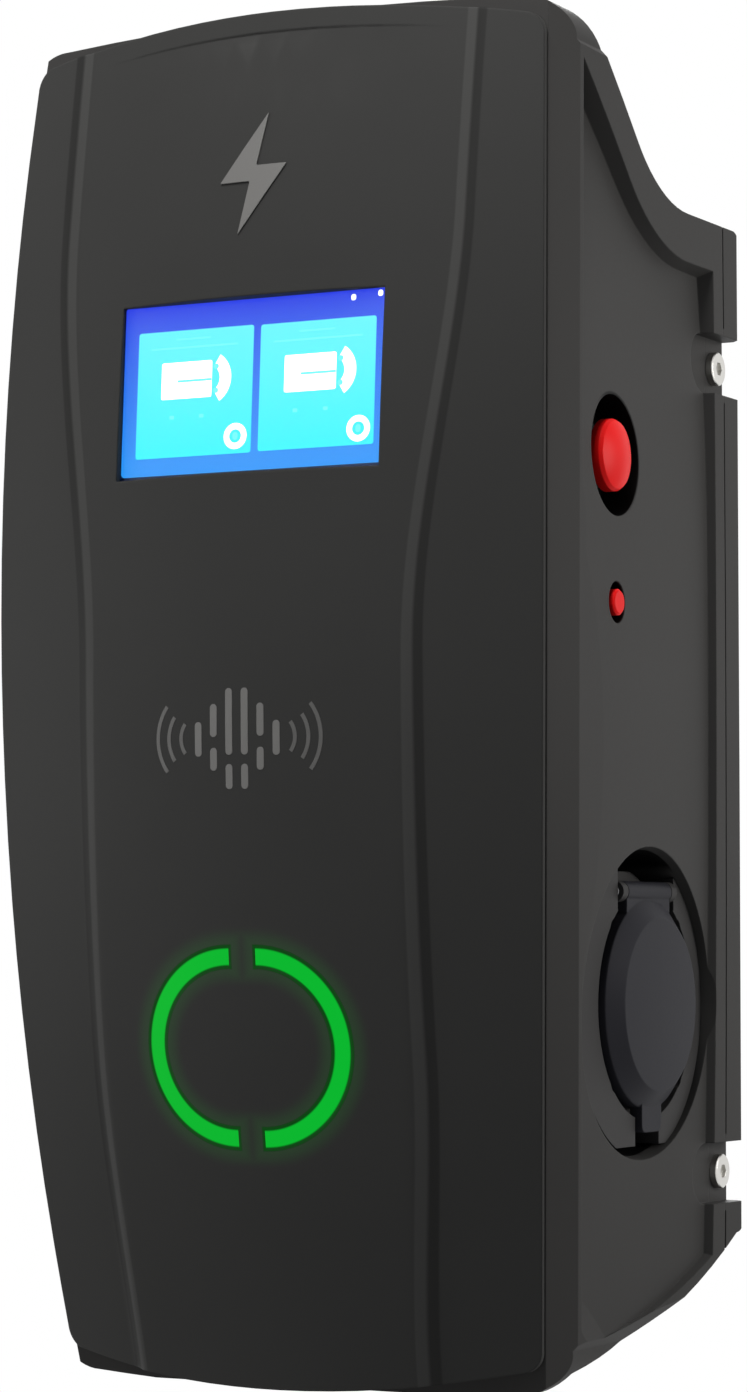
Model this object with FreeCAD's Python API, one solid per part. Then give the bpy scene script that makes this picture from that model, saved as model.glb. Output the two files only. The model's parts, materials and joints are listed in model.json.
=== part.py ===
# Wall-mounted charging station with two vehicle sockets.
# Millimetres. X to the viewer's right, Y towards the wall, Z up.
# The origin is the centre of the four wall bolts, on the wall plane.
import FreeCAD, Part
import math
import os
from FreeCAD import Vector

# Body: bowed in front view and in side view
half_width = 124.6
widest_height = 57.0
side_bow_radius = 2940.0
rear_half_width = 123.0
front_depth = 176.0
bow_height = 41.5
front_bow_radius = 1404.0
wall_gap = 6.0
body_top = 262.0
body_bottom = -250.0
top_arch = 8.0
bottom_arch = 9.0
wall = 3.0
bevel_across = 7.0
bevel_deep = 13.0
rim_rise = 3.5
rear_bevel = 3.0
rear_round = 7.0
body_corner = 16.0

# Top shoulder and underside, seen from the side
crest_depth = 160.0
crest_radius = 34.0
hollow_radius = 58.0
shoulder_angle = 50.0
shoulder_drop = 72.0
underside_radius = 335.0
underside_slope = 7.0
underside_depth = 148.0
chin_deep = 16.0

# Back cover
back_cover_depth = 17.5
back_plate = 3.0

# Side panels: sunk behind a raised rim
rim_width = 10.0
rim_rear = 31.5
panel_front = 158.0
panel_sink = 3.2
panel_lean = 12.0
rim_ramp = 6.0

# Front cover
cover_wall = 2.8
cover_rim = 8.0
cover_lip = 4.0
cover_crown = 19.0
cover_gap = 1.2
cover_corner_radius = 9.0
shadow_gap = 1.0
crease_half_top = 86.0
crease_half_waist = 70.0
crease_half_bottom = 62.0
crease_step_top = -1.8
crease_step_bottom = 3.4
crease_ramp = 5.0
cover_spans = 9

# Display
display_height = 121.5
window_width = 113.5
window_height = 67.5
window_radius = 1.5
window_thick = 2.5
window_sink = 3.4
window_ledge = 3.0
collar_wall = 5.0
module_thick = 6.0
board_thick = 1.6
display_board_width = 140.0
display_board_height = 90.0

# Card reader
reader_height = -11.0
reader_width = 76.0
reader_tall = 54.0
reader_depth = 188.0

# Control board, between the display and the card reader
control_height = 49.0
control_width = 100.0
control_tall = 44.0
control_depth = 187.0
board_boss = 7.0
board_screw = 2.5
board_margin = 4.5

# Status light: two C-shaped light guides
light_height = -127.0
light_radius = 37.4
light_stroke = 7.0
light_offset = 5.7
light_board_size = 86.0
light_board_depth = 172.0
fit_gap = 0.05

# Sockets, one on each side
socket_height = -111.5
socket_depth = 85.5
pocket_depth_centre = 95.0
pocket_mouth = 123.0
pocket_floor_size = 106.0
pocket_floor_x = 93.0
flange_front_x = 105.0
flange_size = 105.0
flange_flat = 51.0
barrel_outer = 70.0
barrel_inner = 63.0
barrel_length = 48.0
insert_size = 54.0
insert_front = 4.0
flap_size = 80.0
flap_front_x = 123.0
flap_edge = 8.0
flap_bevel = 6.0
flap_dome = 1.2
hinge_above = 43.0
hinge_pin_size = 4.0
hinge_reach = 25.0
hinge_x = 114.0
hinge_knuckle = 8.0
hinge_lug_half = 19.9
hinge_ear_near = 20.4
surround_front_x = 116.0
surround_inner = 88.0
surround_flat = 53.5
surround_gap = 0.6
flap_back_x = 111.0
flap_pocket = 60.0
seal_inner = 63.5
seal_outer = 70.0
seal_deep = 2.5
tab_width = 18.0
tab_low = -160.0
flange_screw_place = 28.5
flange_screw = 4.0
power_contact = 6.0
signal_contact = 3.0
contact_tail = 0.7  # a contact's tail is this much thicker than half its bore
power_places = [(-14.5, 2.0), (14.5, 2.0), (0.0, 1.0), (-8.0, -13.0), (8.0, -13.0)]
signal_places = [(-6.0, 14.5), (6.0, 14.5)]
lock_x = 76.0
lock_pin_size = 6.0
lock_width = 22.0
lock_high = -56.0

# Emergency stop and reset button, right side
stop_depth = 128.0
stop_height = 95.0
stop_recess = 46.0
stop_floor_x = 108.0
head_size = 27.4
stop_head_thick = 8.5
stop_front_x = 126.5
stop_dome = 3.0
stop_tube = 22.0
stem_size = 12.0
stop_flange = 32.0
stop_tip = 8.0
reset_height = 39.5
reset_recess = 15.8
reset_floor_x = 116.0
reset_tube = 13.0
reset_cap = 10.0
reset_front_x = 124.8
reset_plunger = 5.0

# Bracket notches in the rear edge, both sides
notch_top = 142.0
notch_bottom = -178.5
notch_size = 24.0
notch_reach = 40.0
notch_sink = 8.0
bracket_screw_depth = 16.0
bracket_screw = 6.0
bracket_screw_head = 13.5
bracket_head_thick = 3.0
ear_thick = 3.0
ear_height = 30.0
ear_reach = 30.0
ear_slot_gap = 1.0
bracket_thick = 3.0
bracket_half_width = 96.0
bracket_hole_x = 150.0
bracket_hole_z = 320.0
bracket_hole = 8.5

# Fixings inside the body
cover_screw_heights = (-205.0, -20.0, 205.0)
cover_screw_inset = 26.5
cover_lug_size = 13.0
cover_lug_thick = 5.0
cover_lug_sink = 3.0
cover_screw = 4.0
cover_boss_size = 9.0
opening_inset = 11.0
back_side_points = [(x, z) for x in (-104.0, 104.0) for z in (60.0, 180.0)]
back_low_points = [(-60.0, -188.0), (60.0, -188.0)]
back_screw_points = back_side_points + back_low_points
back_boss = 10.0
back_boss_length = 26.0
back_screw = 4.0

# Supply cable gland in the underside
gland_x = 0.0
gland_depth = 70.0
gland_floor = -214.0
gland_pad = 46.0
gland_thread = 32.0
gland_nut_size = 40.0
gland_cap_length = 18.0
gland_hex_length = 7.0
gland_cable = 16.0

# Chassis plate that carries the electrical parts
chassis_depth = 32.0
chassis_thick = 2.0
chassis_half = 89.0
chassis_low = -165.0
chassis_high = 178.0
chassis_post = 9.0
chassis_screw = 4.0
chassis_posts = [(x, z) for x in (-84.0, 84.0) for z in (-155.0, 168.0)]
rail_height = 130.0
rail_half = 84.0
rail_device_deep = 58.0
lever_drum = 10.0
lever_thick = 3.0
lever_swing = 70.0

seam_back = wall_gap + back_cover_depth
ahead = front_depth + 60
barrel_end = flap_back_x - 0.4
lever_y = -chassis_depth - chassis_thick - 7.5 - rail_device_deep + 3


def arc(a, b, c):
    return Part.Arc(Vector(*a), Vector(*b), Vector(*c)).toShape()


def line(a, b):
    return Part.LineSegment(Vector(*a), Vector(*b)).toShape()


def box(x0, x1, y0, y1, z0, z1):
    return Part.makeBox(x1 - x0, y1 - y0, z1 - z0, Vector(x0, y0, z0))


def rod_x(diameter, x0, x1, y, z):
    low = min(x0, x1)
    return Part.makeCylinder(diameter / 2, abs(x1 - x0), Vector(low, y, z), Vector(1, 0, 0))


def rod_y(diameter, x, y0, y1, z):
    return Part.makeCylinder(diameter / 2, y1 - y0, Vector(x, y0, z), Vector(0, 1, 0))


def rod_z(diameter, x, y, z0, z1):
    return Part.makeCylinder(diameter / 2, z1 - z0, Vector(x, y, z0), Vector(0, 0, 1))


def mirrored(shape):
    return shape.mirror(Vector(0, 0, 0), Vector(1, 0, 0))


def joined(shapes):
    return shapes[0].multiFuse(shapes[1:]).removeSplitter() if len(shapes) > 1 else shapes[0]


def front_y(z):
    """Depth of the seam surface, which bows towards the viewer."""
    drop = front_bow_radius - math.sqrt(front_bow_radius ** 2 - (z - bow_height) ** 2)
    return -front_depth + drop


def side_x(z):
    """Half-width of the body at its front, which is widest above the middle."""
    return half_width - side_bow_radius + math.sqrt(side_bow_radius ** 2 - (z - widest_height) ** 2)


# Body shell

def shoulder_points(top, inset):
    """Crest, slope and hollow of the top, from the front to the rear."""
    angle = math.radians(shoulder_angle)
    half = angle / 2
    crest = crest_radius - inset
    hollow = hollow_radius + inset
    start = (-crest_depth, top)
    crest_mid = (start[0] + crest * math.sin(half), top - crest * (1 - math.cos(half)))
    crest_end = (start[0] + crest * math.sin(angle), top - crest * (1 - math.cos(angle)))
    slope = (shoulder_drop - (crest + hollow) * (1 - math.cos(angle))) / math.tan(angle)
    slope_end = (crest_end[0] + slope, crest_end[1] - slope * math.tan(angle))
    low = top - shoulder_drop
    hollow_y = slope_end[0] + hollow * math.sin(angle)
    hollow_mid = (hollow_y - hollow * math.sin(half), low + hollow * (1 - math.cos(half)))
    return start, crest_mid, crest_end, slope_end, hollow_mid, (hollow_y, low)


def underside_z(y, low):
    """Height of the underside, an arc that rises to the rear."""
    centre_y = -underside_depth - underside_radius * math.sin(math.radians(underside_slope))
    rise = underside_radius * math.cos(math.radians(underside_slope))
    return low + rise - math.sqrt(underside_radius ** 2 - (y - centre_y) ** 2)


def side_profile(inset, rear, nip=0.0):
    """Closed outline of the body seen from the side; nip rounds its rear corners and its front is open-ended."""
    a, b, c, d, e, f = shoulder_points(body_top + top_arch - inset, inset)
    chin = -underside_depth
    low = body_bottom + inset
    chin_top = (chin + chin_deep, underside_z(chin + chin_deep, low))
    chin_low = (chin, low - bottom_arch - 1)
    rear_top = (rear, f[1] - nip)
    rear_low = (rear, underside_z(rear - nip, low) + nip)
    tail_top = (rear - nip, f[1])
    tail_low = (rear - nip, underside_z(rear - nip, low))
    mid_y = (tail_low[0] + chin_top[0]) / 2
    mid = (mid_y, underside_z(mid_y, low))

    def at(p):
        return (0, p[0], p[1])

    corners = [chin_low, (-ahead, chin_low[1]), (-ahead, a[1]), a]
    edges = [line(at(p), at(q)) for p, q in zip(corners, corners[1:])]
    edges += [arc(at(a), at(b), at(c)), line(at(c), at(d)), arc(at(d), at(e), at(f)), line(at(f), at(tail_top))]
    if nip:
        near = nip * (1 - math.sqrt(0.5))
        edges += [arc(at(tail_top), at((rear - near, f[1] - near)), at(rear_top)),
                  arc(at(rear_low), at((rear - near, tail_low[1] + near)), at(tail_low))]
    edges += [line(at(rear_top), at(rear_low)), arc(at(tail_low), at(mid), at(chin_top))]
    edges.append(line(at(chin_top), at(chin_low)))
    return Part.Wire(Part.__sortEdges__(edges))


def arch_rise(x, reach, arch):
    """Height of a shallow arch above its ends, at a distance from its middle."""
    radius = (reach ** 2 + arch ** 2) / (2 * arch)
    return arch - radius + math.sqrt(radius ** 2 - x ** 2)


def outline_corner(reach, level, arch, inset, up):
    """Rounded corner between the arched top (up = 1) or underside (up = -1) and the right side."""
    radius = max(body_corner - inset, 1.0)
    x = side_x(level) - inset
    start = (x - radius, level + up * arch_rise(x - radius, reach, arch))
    nip = radius * (1 - math.sqrt(0.5))
    end = (x, start[1] - up * radius)
    far = (reach, end[1] - up * 1.4 * (reach - x))
    return start, (x - nip, start[1] - up * nip), end, far


def front_outline(inset, spread):
    """Outline of the body in front view: arched top and underside, rounded corners, open sides."""
    reach = half_width + spread
    high, low = body_top - inset, body_bottom + inset
    top = outline_corner(reach, high, top_arch, inset, 1)
    bottom = outline_corner(reach, low, bottom_arch, inset, -1)

    def right(point):
        return (point[0], -ahead, point[1])

    def left(point):
        return (-point[0], -ahead, point[1])

    edges = [arc(left(top[0]), (0, -ahead, high + top_arch), right(top[0])),
             arc(right(bottom[0]), (0, -ahead, low - bottom_arch), left(bottom[0]))]
    for at in (right, left):
        edges += [arc(*[at(p) for p in top[:3]]), line(at(top[2]), at(top[3])), line(at(top[3]), at(bottom[3])),
                  line(at(bottom[3]), at(bottom[2])), arc(*[at(p) for p in bottom[:3]])]
    return Part.Wire(Part.__sortEdges__(edges))


def envelope(inset, rear, nip=0.0):
    """Side profile across the whole width, within the arched outline seen from the front."""
    reach = half_width + 12
    profile = Part.Face(side_profile(inset, rear, nip)).extrude(Vector(2 * reach, 0, 0))
    profile.translate(Vector(-reach, 0, 0))
    outline = Part.Face(front_outline(inset, 12)).extrude(Vector(0, 2 * ahead, 0))
    return profile.common(outline).Solids[0]


def behind_bow(back):
    """Solid behind the bowed seam surface, set back from it."""
    centre = Vector(-200, -front_depth + front_bow_radius + back, bow_height)
    return Part.makeCylinder(front_bow_radius, 400, centre, Vector(1, 0, 0))


def face_x(y, z):
    """Half-width of the flat of a side face at a depth and height."""
    start = front_y(z) + bevel_deep
    share = (y - start) / (-wall_gap - start)
    return side_x(z) + (rear_half_width - side_x(z)) * share


def plan_section(z):
    """Outline of the body seen from above: bevelled front corners, flat sides that widen to the rear."""
    seam = front_y(z)
    tip = (side_x(z) - 2 * bevel_across, seam - bevel_deep)
    shoulder = (side_x(z), seam + bevel_deep)
    corner = (face_x(-wall_gap - rear_bevel, z), -wall_gap - rear_bevel)
    tail = (corner[0] - 2 * rear_bevel, -wall_gap + rear_bevel)
    right = [(p[0], p[1], z) for p in (tip, shoulder, corner, tail)]
    left = [(-p[0], p[1], z) for p in (tail, corner, shoulder, tip)]
    return Part.makePolygon(right + left + right[:1])


def bevelled_sides():
    stations = (body_bottom - 30, (body_bottom + body_top) / 2, body_top + 30)
    return Part.makeLoft([plan_section(z) for z in stations], True, False)


def side_section(y, inset, sink, lean):
    """Outline in front view of a slice whose long sides are the body's sides; lean sets their tops in further."""
    low, high = body_bottom - 30, body_top + 30
    heights = (low, (low + widest_height) / 2, widest_height, (widest_height + high) / 2, high)
    right = []
    for z in heights:
        share = max(z - widest_height, 0) / (high - widest_height)
        right.append((face_x(y, z) - inset - sink - lean * share * share, y, z))
    left = [(-p[0], p[1], p[2]) for p in right]
    return Part.Wire([arc(*right[:3]), arc(*right[2:]), line(right[4], left[4]),
                      arc(*left[:1:-1]), arc(*left[2::-1]), line(left[0], right[0])])


def between_sides(inset, front_sink, rear_sink, lean=0.0):
    """Solid between the two side faces; the sinks set them in at the front and rear of the side panels."""
    slope = (rear_sink - front_sink) / (panel_front - rim_rear)
    sections = [side_section(y, inset, front_sink + slope * (y + panel_front), lean) for y in (-ahead, ahead)]
    return Part.makeLoft(sections, True, True)


def outer_body():
    return envelope(0, -wall_gap, rear_round).common(bevelled_sides()).common(behind_bow(0)).Solids[0]


def recess_region(side):
    """Tapered block that sinks one side panel behind its rim."""
    inner = side_profile(rim_width + rim_ramp, -rim_rear - rim_ramp)
    inner.translate(Vector(half_width - 14, 0, -top_arch))
    outer = side_profile(rim_width - 1, -rim_rear + 1)
    outer.translate(Vector(half_width + 4, 0, -top_arch))
    region = Part.makeLoft([inner, outer], True, True).common(behind_bow(bevel_deep + 3))
    region = region.cut(between_sides(0, 0, panel_sink, panel_lean))
    return region if side > 0 else mirrored(region)


def notch(side, grow, sink):
    """U-shaped pocket from the rear edge for a bracket screw; grow thickens it into its own wall."""
    size = notch_size / 2 + grow
    shapes = []
    for z in (notch_top, notch_bottom):
        nose = -wall_gap - notch_reach + notch_size / 2
        x0 = rear_half_width - sink - grow
        shapes.append(rod_x(2 * size, x0, half_width + 10, nose, z))
        shapes.append(box(x0, half_width + 10, nose, 20, z - size, z + size))
    shape = joined(shapes)
    return shape if side > 0 else mirrored(shape)


def socket_pocket(grow):
    """Round pocket of the right socket, wider at its mouth and shifted to the front there."""
    floor = pocket_floor_x - grow
    mouth_x = half_width + 6
    rate = (mouth_x - floor) / (mouth_x - pocket_floor_x)
    centre = socket_depth + (pocket_depth_centre - socket_depth) * rate
    circles = []
    for x, y, size in ((floor, socket_depth, pocket_floor_size), (mouth_x, centre, pocket_mouth + 2)):
        ring = Part.makeCircle(size / 2 + grow, Vector(x, -y, socket_height), Vector(1, 0, 0))
        circles.append(Part.Wire([ring]))
    return Part.makeLoft(circles, True, True)


def flange_screw_points():
    spread = (-flange_screw_place, flange_screw_place)
    spots = [(a, b) for a in spread for b in spread]
    return [(-socket_depth + a, socket_height + b) for a, b in spots]


def lug_points():
    return [(side * (side_x(z) - cover_screw_inset), z) for z in cover_screw_heights for side in (-1, 1)]


def housing():
    body = outer_body()
    shell = body.cut(box(-200, 200, -seam_back, 50, -300, 300))
    cavity = envelope(wall, 50).common(between_sides(wall, 0, panel_sink, panel_lean))
    cavity = cavity.common(behind_bow(bevel_deep + 1))
    opening = envelope(opening_inset, 50).common(between_sides(opening_inset + bevel_across, 0, 0))
    shell = shell.cut(cavity).cut(opening)
    inside = body.cut(box(-200, 200, -seam_back, 50, -300, 300))
    extra = [socket_pocket(wall), mirrored(socket_pocket(wall))]
    extra += [notch(side, wall, notch_sink) for side in (-1, 1)]
    extra.append(rod_x(stop_recess + 2 * wall, stop_floor_x - wall, half_width + 6, -stop_depth, stop_height))
    extra.append(rod_x(reset_recess + 2 * wall, reset_floor_x - wall, half_width + 6, -stop_depth, reset_height))
    extra.append(rod_z(gland_pad + 2 * wall, gland_x, -gland_depth, -300, gland_floor + 4))
    for x, z in lug_points():
        y = front_y(z) + cover_lug_sink
        extra.append(rod_y(cover_lug_size, x, y, y + cover_lug_thick, z))
        rim_x = math.copysign(abs(x) + cover_screw_inset - opening_inset, x)
        half = cover_lug_size / 2
        extra.append(box(min(x, rim_x), max(x, rim_x), y, y + cover_lug_thick, z - half, z + half))
    boss_front = -seam_back - back_boss_length
    extra += [rod_y(back_boss, x, boss_front, -seam_back, z) for x, z in back_screw_points]
    for x, z in back_side_points:
        reach = rear_half_width - wall - panel_sink + 1
        low, high = (x, reach) if x > 0 else (-reach, x)
        extra.append(box(low, high, boss_front, -seam_back, z - 1.5, z + 1.5))
    extra += [box(x - 1.5, x + 1.5, boss_front, -seam_back, body_bottom, z) for x, z in back_low_points]
    for y, z in flange_screw_points():
        for side in (-1, 1):
            extra.append(rod_x(9, side * (pocket_floor_x - 10), side * pocket_floor_x, y, z))
    extra = [piece.common(inside) for piece in extra]
    shell = shell.fuse(extra)
    cuts = [socket_pocket(0), mirrored(socket_pocket(0))]
    for y, z in flange_screw_points():
        for side in (-1, 1):
            cuts.append(rod_x(flange_screw - 0.6, side * (pocket_floor_x - 12), side * 100, y, z))
    cuts += [notch(side, 0, notch_sink) for side in (-1, 1)]
    cuts += [recess_region(side) for side in (-1, 1)]
    for side in (-1, 1):
        cuts.append(rod_x(barrel_outer + 1, side * 60, side * 110, -socket_depth, socket_height))
    cuts.append(rod_x(stop_recess, stop_floor_x, half_width + 10, -stop_depth, stop_height))
    cuts.append(rod_x(stop_tube + 0.4, 90, half_width, -stop_depth, stop_height))
    cuts.append(rod_x(reset_recess, reset_floor_x, half_width + 10, -stop_depth, reset_height))
    cuts.append(rod_x(reset_tube + 0.2, 90, half_width, -stop_depth, reset_height))
    cuts.append(rod_z(gland_pad, gland_x, -gland_depth, -300, gland_floor))
    cuts.append(rod_z(gland_thread + 0.4, gland_x, -gland_depth, -300, -180))
    for x, z in lug_points():
        cuts.append(rod_y(cover_screw + 0.4, x, -200, -100, z))
    for x, z in back_screw_points:
        cuts.append(rod_y(back_screw - 0.6, x, -seam_back - 24, 0, z))
    shell = shell.cut(cuts)
    return max(shell.Solids, key=lambda s: s.Volume)


def back_cover():
    body = outer_body()
    block = body.common(box(-200, 200, -seam_back, 50, -300, 300)).Solids[0]
    slice_front = box(-200, 200, -seam_back - 1, -seam_back + shadow_gap, -300, 300)
    slim = envelope(shadow_gap, 50).common(between_sides(shadow_gap, 0, 0))
    shell = block.cut(slice_front.cut(slim))
    cavity = envelope(wall, 50).common(between_sides(wall, 0, 0))
    cavity = cavity.common(box(-200, 200, -seam_back - 5, -wall_gap - back_plate, -300, 300))
    shell = shell.cut(cavity)
    extra = [notch(side, wall, notch_sink) for side in (-1, 1)]
    for x, z in chassis_posts:
        extra.append(rod_y(chassis_post, x, -seam_back, -wall_gap - 1, z))
    for x, z in back_screw_points:
        extra.append(rod_y(back_boss, x, -seam_back, -wall_gap - 1, z))
    shell = shell.fuse([piece.common(block) for piece in extra])
    for x, z in chassis_posts:
        shell = shell.fuse(rod_y(chassis_post, x, -chassis_depth, -seam_back + 1, z))
    cuts = [notch(side, 0, notch_sink) for side in (-1, 1)]
    ear_x = rear_half_width - notch_sink - wall
    for z in (notch_top, notch_bottom):
        for side in (-1, 1):
            cuts.append(rod_x(bracket_screw + 0.5, side * 100, side * 130, -bracket_screw_depth, z))
            near, far = side * (ear_x - ear_thick - ear_slot_gap), side * (ear_x + 0.01)
            half = ear_height / 2 + ear_slot_gap
            cuts.append(box(min(near, far), max(near, far), -wall_gap - back_plate - 1, 1, z - half, z + half))
    for x, z in back_screw_points:
        cuts.append(rod_y(back_screw + 0.4, x, -100, 0, z))
        cuts.append(rod_y(2 * back_screw, x, -wall_gap - 4, 0, z))
    for x, z in chassis_posts:
        cuts.append(rod_y(chassis_screw - 0.6, x, -chassis_depth - 1, -chassis_depth + 12, z))
    shell = shell.cut(cuts)
    return max(shell.Solids, key=lambda s: s.Volume)


def cap_screw(diameter, length, head, head_thick, drive):
    """Screw along +Z with its head's outer face at z = 0 and a hexagon drive."""
    shape = Part.makeCylinder(head / 2, head_thick, Vector(0, 0, -head_thick))
    shape = shape.fuse(Part.makeCylinder(diameter / 2, length, Vector(0, 0, -head_thick - length)))
    rim = [e for e in shape.Edges if abs(e.BoundBox.ZMax) < 1e-6 and e.BoundBox.ZLength < 1e-6]
    shape = shape.makeChamfer(head_thick * 0.15, rim)
    return shape.cut(hexagon(drive, head_thick * 0.55, -head_thick * 0.55))


def hexagon(across, height, z):
    points = []
    for i in range(7):
        turn = math.radians(60 * i + 30)
        reach = across / math.sqrt(3)
        points.append(Vector(reach * math.cos(turn), reach * math.sin(turn), z))
    return Part.Face(Part.makePolygon(points)).extrude(Vector(0, 0, height))


def turned(shape, axis, place):
    """Turn a shape that points along +Z so that it points along axis, then move it."""
    copy = shape.copy()
    copy.Placement = FreeCAD.Placement(Vector(*place), FreeCAD.Rotation(Vector(0, 0, 1), Vector(*axis)))
    return copy


def group(shapes):
    return Part.makeCompound(shapes)


def wall_bracket():
    plate = box(-bracket_half_width, bracket_half_width, -bracket_thick, 0, -185, 185)
    ear_x = rear_half_width - notch_sink - wall - 0.3
    pieces = [plate]
    for side in (-1, 1):
        for z in (notch_top, notch_bottom):
            low, high = z - ear_height / 2, z + ear_height / 2
            near, far = side * (ear_x - ear_thick), side * ear_x
            pieces.append(box(min(near, far), max(near, far), -ear_reach, 0, low, high))
            pieces.append(box(min(0, far), max(0, far), -bracket_thick, 0, low, high))
            nut_near = side * (ear_x - ear_thick - 5)
            nut = hexagon(10.0, 5.0, 0)
            pieces.append(turned(nut, (-side, 0, 0), (side * (ear_x - ear_thick), -bracket_screw_depth, z)))
    shape = joined(pieces)
    cuts = [box(-55, 55, -50, 10, -105, 105)]
    for x in (-bracket_hole_x / 2, bracket_hole_x / 2):
        for z in (-bracket_hole_z / 2, bracket_hole_z / 2):
            cuts.append(rod_y(bracket_hole, x, -20, 20, z))
    for side in (-1, 1):
        for z in (notch_top, notch_bottom):
            cuts.append(rod_x(bracket_screw + 0.1, side * 90, side * 130, -bracket_screw_depth, z))
    return shape.cut(cuts)


def bracket_screws():
    screws = []
    screw = cap_screw(bracket_screw, 14.0, bracket_screw_head, bracket_head_thick, 5.0)
    for side in (-1, 1):
        for z in (notch_top, notch_bottom):
            x = side * (rear_half_width - notch_sink + bracket_head_thick)
            screws.append(turned(screw, (side, 0, 0), (x, -bracket_screw_depth, z)))
    return group(screws)


def back_screws():
    screw = cap_screw(back_screw - 0.7, 24.0, 2 * back_screw - 1, 3.0, 3.0)
    return group([turned(screw, (0, 1, 0), (x, -wall_gap - 1, z)) for x, z in back_screw_points])


# Front cover

def blend(start, end, share):
    share = min(max(share, 0.0), 1.0)
    return start + (end - start) * share * share * (3 - 2 * share)


def crease_x(z):
    """Half-width of the centre panel, which has a waist."""
    if z > 0:
        return blend(crease_half_waist, crease_half_top, (z - 20) / 165)
    return blend(crease_half_waist, crease_half_bottom, (-130 - z) / 130)


def cover_edge_x(z):
    return side_x(z) - bevel_across


def cover_y(x, z):
    """Depth of the cover's outer surface: crowned, with a raised or sunk centre panel."""
    share = x / cover_edge_x(z)
    crown = cover_crown * (1 - share * share)
    step = blend(crease_step_bottom, crease_step_top, (z + 170) / 400)
    inside = blend(0, 1, (crease_x(z) + crease_ramp / 2 - abs(x)) / crease_ramp)
    return front_y(z) - cover_lip - crown - step * inside


def smooth_surface(rows, across_degree):
    """Surface that follows a grid of points smoothly without passing beyond them."""
    def ends_held(count, degree):
        spans = count - degree
        return [degree + 1] + [1] * (spans - 1) + [degree + 1], list(range(spans + 1))

    up_mults, up_knots = ends_held(len(rows), 3)
    mults, knots = ends_held(len(rows[0]), across_degree)
    surface = Part.BSplineSurface()
    surface.buildFromPolesMultsKnots(rows, up_mults, mults, up_knots, knots, False, False, 3, across_degree)
    return surface.toShape()


def cover_heights():
    low, high = body_bottom - 20.0, body_top + 20.0
    return [low + i * (high - low) / cover_spans for i in range(cover_spans + 1)]


def cover_block():
    """Everything behind the cover's outer surface."""
    rows = []
    for z in cover_heights():
        edge, mid = cover_edge_x(z), crease_x(z)
        half = crease_ramp / 2
        steps = [0, mid / 2, mid - 2 * half, mid - half, mid + half, mid + 2 * half, (mid + edge) / 2, edge, edge + 8]
        across = [-x for x in reversed(steps[1:])] + steps
        rows.append([Vector(x, cover_y(x, z), z) for x in across])
    return smooth_surface(rows, 3).extrude(Vector(0, ahead, 0))


def cover_hollow():
    """Everything behind the cover's plain inner surface, a crown that leaves out the creases."""
    rows = []
    for z in cover_heights():
        depth = front_y(z) - cover_lip + cover_wall
        edge = cover_edge_x(z)
        reach = edge + 8
        side_y = depth - cover_crown * (1 - (reach / edge) ** 2)
        middle_y = 2 * (depth - cover_crown) - side_y
        rows.append([Vector(-reach, side_y, z), Vector(0, middle_y, z), Vector(reach, side_y, z)])
    return smooth_surface(rows, 2).extrude(Vector(0, ahead, 0))


def cover_outline(inset, spread=0.0):
    """Cover outline in front view with rounded corners, as a block along Y; spread widens its sides."""
    y0 = -ahead
    radius = max(cover_corner_radius - inset, 1.0)
    high = body_top - rim_rise - inset
    low = body_bottom + rim_rise + inset
    side_high, side_low = high - radius, low + radius
    right_high = cover_edge_x(side_high) - inset + spread
    right_low = cover_edge_x(side_low) - inset + spread
    nip = radius * (1 - math.sqrt(0.5))
    top = [(right_high - radius, y0, high), (right_high - nip, y0, high - nip), (right_high, y0, side_high)]
    bottom = [(right_low, y0, side_low), (right_low - nip, y0, low + nip), (right_low - radius, y0, low)]
    mid = (cover_edge_x(widest_height) - inset + spread, y0, widest_height)

    def flip(point):
        return (-point[0], point[1], point[2])

    edges = [arc(*top), arc(top[2], mid, bottom[0]), arc(*bottom),
             arc(bottom[2], (0, y0, low - bottom_arch), flip(bottom[2])),
             arc(*[flip(p) for p in reversed(bottom)]), arc(flip(bottom[0]), flip(mid), flip(top[2])),
             arc(*[flip(p) for p in reversed(top)]), arc(flip(top[0]), (0, y0, high + top_arch), top[0])]
    return Part.Face(Part.Wire(edges)).extrude(Vector(0, ahead, 0))


def light_arc(side, gap):
    """One half ring of the status light, as a block along Y."""
    x = side * light_offset
    outer = rod_y(2 * light_radius - 2 * gap, x, -ahead, -100, light_height)
    inner = rod_y(2 * (light_radius - light_stroke) + 2 * gap, x, -ahead - 1, -99, light_height)
    far = side * (light_offset + light_radius + 5)
    near = side * (light_offset + gap)
    half = box(min(near, far), max(near, far), -ahead - 2, -98, light_height - 60, light_height + 60)
    return outer.cut(inner).common(half)


def tilted(shape):
    """Lean a display part back with the bowed front at its height."""
    copy = shape.copy()
    lean = math.degrees(math.asin((display_height - bow_height) / front_bow_radius))
    copy.rotate(Vector(0, window_face, display_height), Vector(1, 0, 0), -lean)
    return copy


def display_box(width, height, y0, y1):
    return tilted(box(-width / 2, width / 2, y0, y1, display_height - height / 2, display_height + height / 2))


window_face = cover_y(window_width / 2, display_height) + window_sink
flat_boards = ((control_height, control_width, control_tall, control_depth),
               (reader_height, reader_width, reader_tall, reader_depth),
               (light_height, light_board_size, light_board_size, light_board_depth))


def board_points(width, tall):
    half_w = width / 2 - board_margin
    half_t = tall / 2 - board_margin
    return [(x, z) for x in (-half_w, half_w) for z in (-half_t, half_t)]


def window_screw_points():
    return board_points(display_board_width, display_board_height)


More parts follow.
